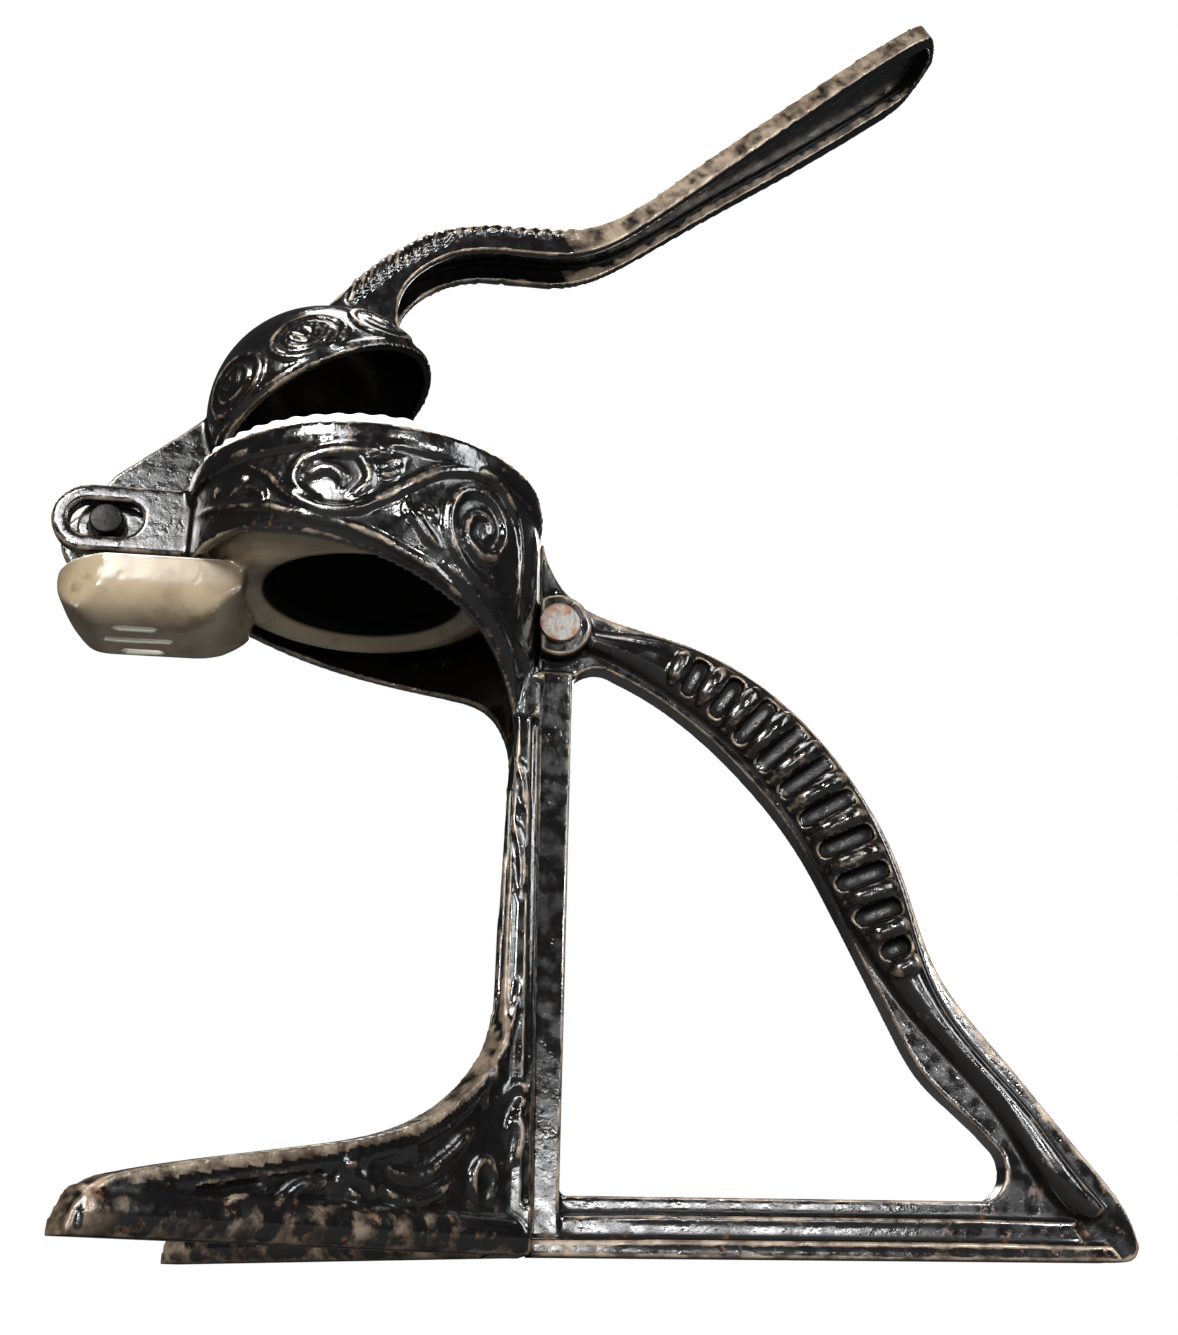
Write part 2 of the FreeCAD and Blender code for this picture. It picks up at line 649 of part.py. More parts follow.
def press_lever():
    centre = FreeCAD.Vector(dome_x, 0, dome_z)
    ball = Part.makeSphere(dome_r, centre)
    dome = ball.common(block(dome_x - 60.0, dome_x + 60.0, -60.0, 60.0, dome_mouth_z, dome_z + 60.0))
    hollow = Part.makeSphere(dome_r - dome_wall, centre)
    top = pivot_z + boss_lever_r
    arm_points = [(pivot_x + 2.0, pivot_z - boss_lever_r), (pivot_x + 10.0, pivot_z - 4.0),
                  (dome_x - dome_r + 3.0, dome_mouth_z), (dome_x - 22.0, dome_mouth_z + 4.0),
                  (dome_x - 22.0, top + 13.0), (dome_x - dome_r - 2.0, top + 9.5), (pivot_x + 8.0, top + 5.0),
                  (pivot_x - 1.0, top)]
    arm = polygon(arm_points, arm_width / 2.0)
    boss = cross_pin(boss_lever_r, arm_width / 2.0, pivot_x, pivot_z)
    bar, channel = handle()
    bar = bar.cut(channel.cut(ball))
    solid = joined([dome, arm, boss, bar]).cut(hollow)
    solid = solid.cut(cross_pin(pin_r + pin_running_fit, 20.0, pivot_x, pivot_z))
    solid.rotate(FreeCAD.Vector(pivot_x, 0, pivot_z), Y, -open_angle)
    return solid


def hinge_pin():
    return cross_pin(pin_r, pin_length / 2.0, pivot_x, pivot_z)


os.makedirs("parts", exist_ok=True)
save(bowl_stand(), "bowl_stand")
save(rear_brace(), "rear_brace")
save(brace_rivet(), "brace_rivet")
save(juice_cup(), "juice_cup")
save(press_lever(), "press_lever")
save(hinge_pin(), "hinge_pin")
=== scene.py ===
import math

import bpy
import numpy as np
from mathutils import Matrix, Vector
from mathutils.bvhtree import BVHTree


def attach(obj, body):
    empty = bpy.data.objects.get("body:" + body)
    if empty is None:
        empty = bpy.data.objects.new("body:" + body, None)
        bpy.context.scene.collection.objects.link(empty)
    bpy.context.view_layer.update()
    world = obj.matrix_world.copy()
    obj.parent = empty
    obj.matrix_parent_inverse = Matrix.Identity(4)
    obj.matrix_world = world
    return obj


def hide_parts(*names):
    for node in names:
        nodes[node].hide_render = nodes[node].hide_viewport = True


# The looks of the lever citrus press. Metres here; chart points are in millimetres.
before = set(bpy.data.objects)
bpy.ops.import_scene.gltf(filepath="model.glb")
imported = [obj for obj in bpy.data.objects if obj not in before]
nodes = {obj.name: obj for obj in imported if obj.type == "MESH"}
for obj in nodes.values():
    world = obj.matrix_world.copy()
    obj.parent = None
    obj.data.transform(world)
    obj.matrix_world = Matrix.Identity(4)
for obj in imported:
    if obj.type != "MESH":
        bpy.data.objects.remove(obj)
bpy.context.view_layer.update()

MM = 0.001
scene = bpy.context.scene

# Places shared with the solids, in millimetres
RING_X = -51.0
PIVOT = (-121.0, 186.0)
OPEN = math.radians(31.0)
DOME = (-52.2, 190.0)
DOME_R = 34.6
LEG_ROOT = (-6.0, -8.5)
LEG_SPLAY = math.radians(43.4)
HOOD_HEIGHTS = (121, 131, 141, 151, 160, 168, 172)
HOOD_MIDDLES = (-13.4, -14.8, -18.8, -29.8, -42.8, -49.5, -51.0)
BOSS = (3.0, 163.0)
PIN_R = 4.5
PIN_LENGTH = 19.4
DRAIN_X = -110.0
DRAIN_PITCH = 8.0

# Fineness of each remade skin, and how deep a stroke sinks into it, in millimetres
STAND_VOXEL = 0.72
BRACE_VOXEL = 0.56
LEVER_VOXEL = 0.6
CUP_VOXEL = 0.62
RIVET_VOXEL = 0.22
STROKE_SINK = 0.2


# Helpers for selecting and applying

def alone(obj):
    """obj selected and active, and nothing else."""
    if bpy.context.object and bpy.context.object.mode != "OBJECT":
        bpy.ops.object.mode_set(mode="OBJECT")
    bpy.ops.object.select_all(action="DESELECT")
    obj.select_set(True)
    bpy.context.view_layer.objects.active = obj


def apply_modifier(obj, name, kind, **values):
    alone(obj)
    modifier = obj.modifiers.new(name, kind)
    for key, value in values.items():
        setattr(modifier, key, value)
    bpy.ops.object.modifier_apply(modifier=modifier.name)


def merged_copy(node, name):
    """A copy of a CAD node's mesh with its loose triangles merged and its faces outward."""
    mesh = nodes[node].data.copy()
    mesh.name = name
    obj = bpy.data.objects.new(name, mesh)
    scene.collection.objects.link(obj)
    mesh.materials.clear()
    alone(obj)
    bpy.ops.object.mode_set(mode="EDIT")
    bpy.ops.mesh.select_all(action="SELECT")
    bpy.ops.mesh.remove_doubles(threshold=0.000004)
    bpy.ops.mesh.normals_make_consistent(inside=False)
    bpy.ops.object.mode_set(mode="OBJECT")
    return obj


def surface(obj):
    return BVHTree.FromObject(obj, bpy.context.evaluated_depsgraph_get())


# Charts: places on a casting, given by two plain numbers

def hood_middle(z):
    """Where the hood's middle lies along the press at a height."""
    return float(np.interp(z, HOOD_HEIGHTS, HOOD_MIDDLES))


def on_hood(tree, turn, z):
    """Round the bowl: turn 0 is the front, 90 the near side, 180 the back."""
    angle = math.radians(turn)
    middle = Vector((hood_middle(z), 0, z)) * MM
    way = Vector((-math.cos(angle), -math.sin(angle), 0))
    return tree.ray_cast(middle + way * 0.08, -way)


def on_leg(tree, along, z):
    """The outer face of the near leg: distance out from its root, height."""
    out = Vector((-math.cos(LEG_SPLAY), -math.sin(LEG_SPLAY), 0))
    face = Vector((math.sin(LEG_SPLAY), -math.cos(LEG_SPLAY), 0))
    point = Vector((LEG_ROOT[0], LEG_ROOT[1], z)) * MM + out * along * MM
    return tree.ray_cast(point + face * 0.03, -face)


def on_side(tree, x, z):
    """The near side, seen square on."""
    return tree.ray_cast(Vector((x * MM, -0.06, z * MM)), Vector((0, 1, 0)))


def on_front(tree, y, z):
    """The front of the column, seen from the front."""
    return tree.ray_cast(Vector((-0.09, y * MM, z * MM)), Vector((1, 0, 0)))


def swung(x, y, z):
    """A point of the lever pressed down, carried to its open place."""
    dx, dz = x - PIVOT[0], z - PIVOT[1]
    return Vector((PIVOT[0] + dx * math.cos(OPEN) - dz * math.sin(OPEN), y,
                   PIVOT[1] + dx * math.sin(OPEN) + dz * math.cos(OPEN))) * MM


def on_dome(turn, rise, sink=0.0):
    """On the dome: turn as on the hood, rise above its mouth in degrees."""
    a, b, r = math.radians(turn), math.radians(rise), DOME_R - sink
    return swung(DOME[0] - r * math.cos(b) * math.cos(a), -r * math.cos(b) * math.sin(a),
                 DOME[1] + r * math.sin(b))


# Strokes: raised lines that become part of the casting

def smooth_line(points, step=1.2):
    """Points on a smooth line through the given ones, about a step apart."""
    pts = [np.array(p, float) for p in points]
    pts = [2 * pts[0] - pts[1]] + pts + [2 * pts[-1] - pts[-2]]
    line = []
    for a, b, c, d in zip(pts, pts[1:], pts[2:], pts[3:]):
        count = max(2, int(np.linalg.norm(c - b) / step))
        for i in range(count):
            t = i / count
            line.append(0.5 * (2 * b + (c - a) * t + (2 * a - 5 * b + 4 * c - d) * t * t
                               + (3 * b - a - 3 * c + d) * t ** 3))
    line.append(pts[-2])
    return line


def stroke(curve, points, radius, taper=0.35, closed=False):
    """Adds one tube to a curve; its radius swells from the ends to the middle."""
    spline = curve.splines.new("POLY")
    spline.points.add(len(points) - 1)
    last = len(points) - 1
    for i, place in enumerate(points):
        share = 1.0
        if not closed:
            end = min(i, last - i) / max(1.0, last)
            share = min(1.0, taper + (1.0 - taper) * min(1.0, end * 5.0))
        spline.points[i].co = (place[0], place[1], place[2], 1.0)
        spline.points[i].radius = radius * share * MM
    spline.use_cyclic_u = closed
    spline.use_smooth = True


def new_strokes(name):
    curve = bpy.data.curves.new(name, "CURVE")
    curve.dimensions = "3D"
    curve.bevel_depth = 1.0
    curve.bevel_resolution = 3
    curve.use_fill_caps = True
    return curve


def charted(curve, tree, chart, points, radius):
    """A stroke laid on a casting along a chart's line, on the near side and mirrored."""
    places = []
    for u, v in smooth_line(points):
        place, normal = chart(tree, u, v)[:2]
        if place is not None:
            places.append(place - normal * STROKE_SINK * MM)
    if len(places) < 2:
        return
    stroke(curve, places, radius)
    stroke(curve, [Vector((p.x, -p.y, p.z)) for p in places], radius)


def strokes_to_mesh(curve):
    obj = bpy.data.objects.new(curve.name, curve)
    scene.collection.objects.link(obj)
    alone(obj)
    bpy.ops.object.convert(target="MESH")
    return bpy.context.view_layer.objects.active


def cast_together(base, curve, voxel, smooth=2):
    """Joins the strokes to the casting, makes one skin of it, and softens it."""
    if curve is not None:
        tubes = strokes_to_mesh(curve)
        alone(base)
        tubes.select_set(True)
        bpy.ops.object.join()
    apply_modifier(base, "skin", "REMESH", mode="VOXEL", voxel_size=voxel * MM, adaptivity=0.0)
    apply_modifier(base, "soften", "SMOOTH", factor=0.5, iterations=smooth)
    alone(base)
    bpy.ops.object.shade_smooth()


def points_of(obj, what="co"):
    """The places or normals of a mesh's points, one row each."""
    values = np.empty(len(obj.data.vertices) * 3, np.float32)
    obj.data.vertices.foreach_get(what, values)
    return values.reshape(-1, 3).astype(float)


def move_points(obj, co):
    obj.data.vertices.foreach_set("co", co.astype(np.float32).ravel())
    obj.data.update()


def mark(obj, name, values):
    """Stores one number for each point, for the materials to read."""
    attribute = obj.data.attributes.get(name) or obj.data.attributes.new(name, "FLOAT", "POINT")
    attribute.data.foreach_set("value", np.asarray(values, np.float32))


def soften_part(obj, chosen, iterations):
    """Softens only the chosen points."""
    group = obj.vertex_groups.new(name="soft")
    group.add([int(i) for i in np.nonzero(chosen)[0]], 1.0, "REPLACE")
    apply_modifier(obj, "soften_part", "SMOOTH", factor=0.5, iterations=iterations, vertex_group="soft")
    obj.vertex_groups.clear()


def mark_edges(obj):
    """Stores how convex the skin is at each point, for wear and grime: above 0 is an edge."""
    mesh = obj.data
    count = len(mesh.vertices)
    co, normal = points_of(obj), points_of(obj, "normal")
    ends = np.empty(len(mesh.edges) * 2, np.int32)
    mesh.edges.foreach_get("vertices", ends)
    a, b = ends.reshape(-1, 2).T
    way = co[b] - co[a]
    length = (way * way).sum(1) + 1e-12
    total = np.bincount(a, -(way * normal[a]).sum(1) / length, count)
    total += np.bincount(b, (way * normal[b]).sum(1) / length, count)
    near = np.bincount(a, minlength=count) + np.bincount(b, minlength=count) + 1e-9
    edge = total / near * MM
    wide = edge.copy()
    fine_rounds, wide_rounds = 2, 14
    for done in range(1, wide_rounds + 1):
        around = np.bincount(a, wide[b], count) + np.bincount(b, wide[a], count)
        wide = 0.4 * wide + 0.6 * around / near
        if done == fine_rounds:
            edge = wide.copy()
    mark(obj, "edge", edge)
    mark(obj, "bulge", wide)


# Node groups shared by the materials

def new_group(name, inputs, outputs):
    tree = bpy.data.node_groups.new(name, "ShaderNodeTree")
    for label, kind, default in inputs:
        socket = tree.interface.new_socket(label, in_out="INPUT", socket_type=kind)
        if default is not None:
            socket.default_value = default
    for label, kind in outputs:
        tree.interface.new_socket(label, in_out="OUTPUT", socket_type=kind)
    return tree, tree.nodes.new("NodeGroupInput"), tree.nodes.new("NodeGroupOutput")


def node(tree, kind, values=(), **settings):
    made = tree.nodes.new(kind)
    for key, value in settings.items():
        setattr(made, key, value)
    for key, value in dict(values).items():
        made.inputs[key].default_value = value
    return made


def link(tree, source, target):
    tree.links.new(source, target)


def maths(tree, operation, first, second, clamp=False):
    made = node(tree, "ShaderNodeMath", operation=operation, use_clamp=clamp)
    for index, value in enumerate((first, second)):
        if isinstance(value, (int, float)):
            made.inputs[index].default_value = value
        else:
            link(tree, value, made.inputs[index])
    return made.outputs[0]


def spread(tree, value, low, high, to_low=0.0, to_high=1.0):
    made = node(tree, "ShaderNodeMapRange", {"From Min": low, "From Max": high,
                                             "To Min": to_low, "To Max": to_high})
    made.interpolation_type = "SMOOTHSTEP"
    link(tree, value, made.inputs["Value"])
    return made.outputs["Result"]


def mixed(tree, share, first, second):
    made = node(tree, "ShaderNodeMix", data_type="RGBA")
    for index, value in ((0, share), (6, first), (7, second)):
        if isinstance(value, (int, float, tuple)):
            made.inputs[index].default_value = value
        else:
            link(tree, value, made.inputs[index])
    return made.outputs[2]


def noise(tree, place, scale, detail=4.0, rough=0.55):
    made = node(tree, "ShaderNodeTexNoise", {"Detail": detail, "Roughness": rough})
    link(tree, place, made.inputs["Vector"])
    if isinstance(scale, (int, float)):
        made.inputs["Scale"].default_value = scale
    else:
        link(tree, scale, made.inputs["Scale"])
    return made.outputs["Fac"]


def make_edge_wear():
    """Mask of worn edges: where the skin is convex, broken up by noise."""
    inputs = (("Edge", "NodeSocketFloat", 0.0), ("Level", "NodeSocketFloat", 0.1),
              ("Scale", "NodeSocketFloat", 90.0))
    tree, start, end = new_group("edge_wear", inputs, (("Mask", "NodeSocketFloat"),))
    place = node(tree, "ShaderNodeTexCoord").outputs["Object"]
    patch = noise(tree, place, start.outputs["Scale"])
    broken = maths(tree, "MULTIPLY", maths(tree, "SUBTRACT", patch, 0.5), 0.5)
    height = maths(tree, "ADD", start.outputs["Edge"], broken)
    height = maths(tree, "SUBTRACT", height, start.outputs["Level"])
    link(tree, spread(tree, height, 0.0, 0.12), end.inputs["Mask"])
    return tree


def make_cast_grain():
    """Height of the pebbly cast surface under the paint."""
    inputs = (("Scale", "NodeSocketFloat", 500.0), ("Pits", "NodeSocketFloat", 0.3))
    tree, start, end = new_group("cast_grain", inputs, (("Height", "NodeSocketFloat"),))
    place = node(tree, "ShaderNodeTexCoord").outputs["Object"]
    fine = noise(tree, place, start.outputs["Scale"], 3.0, 0.6)
    broad = noise(tree, place, maths(tree, "MULTIPLY", start.outputs["Scale"], 0.4), 2.0, 0.5)
    pits = spread(tree, noise(tree, place, maths(tree, "MULTIPLY", start.outputs["Scale"], 0.6), 1.0, 0.5),
                  0.62, 0.75)
    height = maths(tree, "ADD", maths(tree, "MULTIPLY", fine, 0.5), broad)
    height = maths(tree, "SUBTRACT", height, maths(tree, "MULTIPLY", pits, start.outputs["Pits"]))
    link(tree, height, end.inputs["Height"])
    return tree


def make_bloom():
    """Mask of rust or dirt that gathers in patches, more of it low down."""
    inputs = (("Amount", "NodeSocketFloat", 0.4), ("Scale", "NodeSocketFloat", 30.0),
              ("Low", "NodeSocketFloat", 0.0))
    tree, start, end = new_group("patch_bloom", inputs, (("Mask", "NodeSocketFloat"),))
    place = node(tree, "ShaderNodeTexCoord").outputs["Object"]
    split = node(tree, "ShaderNodeSeparateXYZ")
    link(tree, place, split.inputs[0])
    low = maths(tree, "MULTIPLY", spread(tree, split.outputs["Z"], 0.03, 0.0), start.outputs["Low"])
    patch = noise(tree, place, start.outputs["Scale"], 6.0, 0.65)
    value = maths(tree, "ADD", maths(tree, "ADD", patch, low), start.outputs["Amount"])
    link(tree, spread(tree, value, 0.98, 1.12), end.inputs["Mask"])
    return tree


edge_wear = make_edge_wear()
cast_grain = make_cast_grain()
patch_bloom = make_bloom()


def grouped(tree, group, values):
    made = tree.nodes.new("ShaderNodeGroup")
    made.node_tree = group
    for key, value in values.items():
        if isinstance(value, (int, float)):
            made.inputs[key].default_value = value
        else:
            link(tree, value, made.inputs[key])
    return made.outputs[0]


def new_material(name):
    material = bpy.data.materials.new(name)
    material.use_nodes = True
    tree = material.node_tree
    tree.nodes.clear()
    shader = tree.nodes.new("ShaderNodeBsdfPrincipled")
    output = tree.nodes.new("ShaderNodeOutputMaterial")
    link(tree, shader.outputs[0], output.inputs[0])
    return material, tree, shader


def attribute(tree, name):
    made = node(tree, "ShaderNodeAttribute", attribute_name=name)
    return made.outputs["Fac"]


def bumped(tree, shader, height, strength, distance):
    bump = node(tree, "ShaderNodeBump", {"Strength": strength, "Distance": distance})
    link(tree, height, bump.inputs["Height"])
    link(tree, bump.outputs[0], shader.inputs["Normal"])


# Finishes and the cup's painted light and shade, as a darker and a lighter colour where there are two
RUBBED = ((0.07, 0.045, 0.028, 1.0), (0.32, 0.25, 0.18, 1.0))
IRON_RUST = ((0.025, 0.012, 0.007, 1.0), (0.24, 0.10, 0.035, 1.0))
JAPAN = ((0.0015, 0.0015, 0.0018, 1.0), (0.006, 0.005, 0.0045, 1.0))
# Painted shade: the cream glaze coloured tan, in two tones
GLAZE_PAINTED_SHADED = ((0.29, 0.235, 0.155, 1.0), (0.12, 0.085, 0.05, 1.0))
GLAZE_STAIN = (0.12, 0.075, 0.04, 1.0)
GLAZE_CONCAVE_DARK = (0.10, 0.06, 0.03, 1.0)
GLAZE_CHIP = (0.86, 0.84, 0.78, 1.0)
# Painted light: the top of the rim, near-white as if lit from above
GLAZE_PAINTED_LIT_RIM = (0.80, 0.78, 0.71, 1.0)
# Painted light: the walls of the drain slots, near-white as if lit from above
GLAZE_PAINTED_LIT_DRAIN = (0.92, 0.90, 0.80, 1.0)
# Painted shade: near-black for the hollow under the cone
PAINTED_HOLLOW_SHADE = (0.004, 0.0035, 0.003, 1.0)
STEEL_RUST = ((0.07, 0.03, 0.015, 1.0), (0.27, 0.12, 0.05, 1.0))
JAPAN_IOR = 1.62


def make_iron(name, level, rust, low, grain):
    """Black japan on cast iron, rubbed brown and grey on its edges, with some rust; in hollows and inside the
    lever's dome its sheen is taken away as painted shade.
    """
    material, tree, shader = new_material(name)
    rubbed_by_hand = maths(tree, "MULTIPLY", attribute(tree, "rubbed"), 0.22)
    edge = maths(tree, "ADD", attribute(tree, "edge"), rubbed_by_hand)
    wear = grouped(tree, edge_wear, {"Edge": edge, "Level": level, "Scale": 170.0})
    hollow = spread(tree, attribute(tree, "bulge"), -0.02, -0.12)
    patches = grouped(tree, patch_bloom, {"Amount": rust, "Scale": 210.0, "Low": low})
    patches = maths(tree, "MULTIPLY", patches, spread(tree, attribute(tree, "rubbed"), -0.9, -0.1))
    shader.inputs["IOR"].default_value = JAPAN_IOR
    place = node(tree, "ShaderNodeTexCoord").outputs["Object"]
    tone = noise(tree, place, 160.0, 5.0, 0.6)
    rubbed = mixed(tree, spread(tree, tone, 0.35, 0.65), *RUBBED)
    rusty = mixed(tree, spread(tree, tone, 0.35, 0.65), *IRON_RUST)
    paint = mixed(tree, noise(tree, place, 60.0), *JAPAN)
    colour = mixed(tree, maths(tree, "MULTIPLY", wear, 0.8), paint, rubbed)
    colour = mixed(tree, maths(tree, "MULTIPLY", patches, 0.6), colour, rusty)
    link(tree, colour, shader.inputs["Base Color"])
    rough = maths(tree, "ADD", spread(tree, noise(tree, place, 220.0, 3.0), 0.35, 0.65, 0.09, 0.24),
                  maths(tree, "MULTIPLY", wear, 0.16))
    rough = maths(tree, "ADD", rough, maths(tree, "MULTIPLY", patches, 0.35))
    rough = maths(tree, "ADD", rough, maths(tree, "MULTIPLY", hollow, 0.2), True)
    link(tree, rough, shader.inputs["Roughness"])
    link(tree, maths(tree, "MULTIPLY", wear, 0.35), shader.inputs["Metallic"])
    # Painted shade: no sheen in hollows and inside the lever's dome, so they stay black
    dome_inside_shade = spread(tree, attribute(tree, "rubbed"), -0.9, -1.5)
    painted_shade_matt = maths(tree, "MAXIMUM", hollow, dome_inside_shade)
    link(tree, spread(tree, painted_shade_matt, 0.0, 1.0, 0.5, 0.04), shader.inputs["Specular IOR Level"])
    height = grouped(tree, cast_grain, {"Scale": grain, "Pits": 0.35})
    bumped(tree, shader, height, 0.35, 0.0002)
    return material


def make_ware():
    """Cream glaze coloured tan as painted shade, with tan staining, a painted lit band along the top of the rim,
    painted lit walls in the drain slots, and painted shade in the hollow under the cone.
    """
    material, tree, shader = new_material("glazed_cream")
    edge = attribute(tree, "edge")
    painted_hollow_shade = attribute(tree, "painted_hollow_shade")
    place = node(tree, "ShaderNodeTexCoord").outputs["Object"]
    tone = noise(tree, place, 28.0, 5.0, 0.6)
    # Painted shade: the tan body colour of the cream glaze
    glaze = mixed(tree, spread(tree, tone, 0.35, 0.68), *GLAZE_PAINTED_SHADED)
    patches = grouped(tree, patch_bloom, {"Amount": 0.42, "Scale": 60.0, "Low": 0.0})
    colour = mixed(tree, maths(tree, "MULTIPLY", patches, 0.7), glaze, GLAZE_STAIN)
    # Darker brown where the skin is concave
    dents = spread(tree, edge, -0.02, -0.2)
    colour = mixed(tree, maths(tree, "MULTIPLY", dents, 0.6), colour, GLAZE_CONCAVE_DARK)
    chips = grouped(tree, edge_wear, {"Edge": edge, "Level": 0.16, "Scale": 140.0})
    colour = mixed(tree, maths(tree, "MULTIPLY", chips, 0.6), colour, GLAZE_CHIP)
    split = node(tree, "ShaderNodeSeparateXYZ")
    link(tree, place, split.inputs[0])
    # Painted light: the top band of the rim made near-white
    colour = mixed(tree, spread(tree, split.outputs["Z"], 0.1966, 0.1985), colour, GLAZE_PAINTED_LIT_RIM)
    # Painted light: the drain slots' walls made near-white
    colour = mixed(tree, attribute(tree, "drain"), colour, GLAZE_PAINTED_LIT_DRAIN)
    # Painted shade: the hollow under the cone made near-black
    colour = mixed(tree, painted_hollow_shade, colour, PAINTED_HOLLOW_SHADE)
    link(tree, colour, shader.inputs["Base Color"])
    rough = spread(tree, tone, 0.3, 0.7, 0.14, 0.3)
    # In the hollow under the cone the glaze is rougher and, as painted shade, has no sheen
    rough = maths(tree, "ADD", rough, maths(tree, "MULTIPLY", painted_hollow_shade, 0.4), True)
    link(tree, rough, shader.inputs["Roughness"])
    link(tree, spread(tree, painted_hollow_shade, 0.0, 1.0, 0.5, 0.02), shader.inputs["Specular IOR Level"])
    height = grouped(tree, cast_grain, {"Scale": 260.0, "Pits": 0.5})
    bumped(tree, shader, height, 0.25, 0.0003)
    return material


def make_steel(name, colour, rust):
    """Bare steel gone dull, with rust in patches; colour is its brightness."""
    material, tree, shader = new_material(name)
    place = node(tree, "ShaderNodeTexCoord").outputs["Object"]
    patches = grouped(tree, patch_bloom, {"Amount": rust, "Scale": 240.0, "Low": 0.0})
    tone = noise(tree, place, 420.0, 5.0, 0.65)
    bare = mixed(tree, tone, (colour * 0.55, colour * 0.52, colour * 0.5, 1.0),
                 (colour, colour, colour * 0.96, 1.0))
    rusty = mixed(tree, tone, *STEEL_RUST)
    link(tree, mixed(tree, patches, bare, rusty), shader.inputs["Base Color"])
    link(tree, maths(tree, "SUBTRACT", 0.9, maths(tree, "MULTIPLY", patches, 0.7)), shader.inputs["Metallic"])
    link(tree, spread(tree, tone, 0.3, 0.7, 0.28, 0.55), shader.inputs["Roughness"])
    height = grouped(tree, cast_grain, {"Scale": 700.0, "Pits": 0.6})
    bumped(tree, shader, height, 0.5, 0.0003)
    return material


iron_stand = make_iron("japanned_stand", level=0.125, rust=0.36, low=0.06, grain=950.0)
iron_brace = make_iron("japanned_brace", level=0.14, rust=0.36, low=0.06, grain=850.0)
iron_lever = make_iron("japanned_lever", level=0.12, rust=0.34, low=0.0, grain=950.0)
ware = make_ware()
rivet_steel = make_steel("rivet_steel", colour=0.26, rust=0.56)
pin_steel = make_steel("pin_steel", colour=0.012, rust=0.3)


def finished(obj, body, material, replaced):
    """Gives a piece its material and body, and hides the node that it takes the place of."""
    obj.data.materials.clear()
    obj.data.materials.append(material)
    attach(obj, body)
    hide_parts(replaced)


# Bowl stand: the casting with its leafwork, each line as chart points and a radius

HOOD_WORK = (
    (((45, 192.5), (53, 188.5), (59, 185), (64, 180.5), (69, 177), (74, 174.5), (80, 173), (87, 173.5),
      (94, 176.5), (100, 180), (106, 184), (112, 187.5), (118, 189.5), (127, 191.3), (135, 190.8), (140, 188),
      (145, 184), (148, 178), (149, 171), (146, 164.5), (142, 158)), 1.55),
    (((99, 189.5), (95, 190.5), (89, 190), (82, 190), (75, 189), (70, 187), (68, 182.5), (71, 178.5),
      (76, 176)), 1.75),
    (((70, 182.5), (73, 183.5), (77, 185), (81, 184), (83, 182), (82, 179.5)), 1.6),
    (((85, 189), (89, 187), (91, 182.5), (89, 179), (85, 176.8)), 1.45),
    (((90, 187.5), (94, 186.5), (98, 188), (102, 190)), 1.2),
    (((93, 183.5), (97, 184), (101, 187)), 1.1),
    (((36, 187.5), (38, 184)), 1.2),
    (((43, 181.5), (47, 183), (51, 183), (55, 181.5), (58, 178.5), (56, 176.5)), 1.25),
    (((49, 187.5), (50, 184)), 1.1),
    (((44, 193), (49, 193), (52, 193)), 1.1),
    (((135, 161.5), (125, 161), (119, 163), (117, 167), (116.5, 172), (116.5, 177), (118, 181.5), (123, 185),
      (130, 185.5), (135.5, 183), (138.5, 178.5), (137.5, 173), (133, 169), (127, 168), (123, 170), (122, 173.5),
      (124, 177.5), (128, 179.3), (132, 178), (132, 175), (129.5, 173.5)), 1.55),
    (((103, 178.5), (103, 175), (106, 172), (108, 169), (111, 166.5)), 1.3),
    (((104, 174), (108, 176), (112, 175)), 1.1),
    (((108, 163.5), (113, 161.5), (117, 158.5), (121, 154), (125, 149), (128, 142)), 1.2),
    (((19, 185), (36, 180.5), (49, 178), (59, 176), (67, 173.5), (76, 171), (85, 169), (92, 166.5), (97, 164),
      (104, 161.5), (108, 158.5), (111, 156.5), (114, 154), (116, 151.5), (119, 148), (121, 144.5),
      (122, 140), (123, 134)), 1.15),
    (((150, 158), (158, 166), (162, 176), (163, 188)), 1.3),
    (((136, 152), (146, 148), (152, 140), (150, 130)), 1.3),
)
LEG_WORK = (
    (((77, 7), (73, 9), (71, 10.5), (67.5, 12), (64, 12), (62, 13.5), (60, 15)), 1.35),
    (((60.5, 11), (58, 13.5), (54.5, 14), (51.5, 13.5), (49, 12), (47.5, 10.5)), 1.3),
    (((52.5, 17), (50.5, 15), (50, 12.5)), 1.25),
    (((59.5, 15.5), (56, 16.7), (52.5, 16.7)), 1.2),
    (((56.5, 11.5), (53.5, 10.5), (51, 9.5)), 1.1),
    (((47.5, 14), (44, 11.5), (39.5, 10.3), (34.5, 10.6), (29.5, 12), (25.5, 14.5), (23, 17)), 1.5),
    (((44, 16.5), (40.5, 15.6), (36, 15.6), (31.5, 16.8), (28, 19), (24, 21.7), (20.5, 24.7), (16.5, 28)), 1.35),
    (((43, 18.5), (40, 20), (37, 21), (34.5, 20)), 1.2),
    (((15, 11.5), (17, 15), (16.5, 18), (14, 20.5), (11, 19.5), (9.5, 16.5), (10, 13), (12.5, 10.8)), 1.3),
    (((90, 7.5), (84, 8.5), (79, 10), (75, 11.5)), 1.2),
    (((14, 32), (12.5, 38), (11, 45), (10, 52)), 1.1),
)
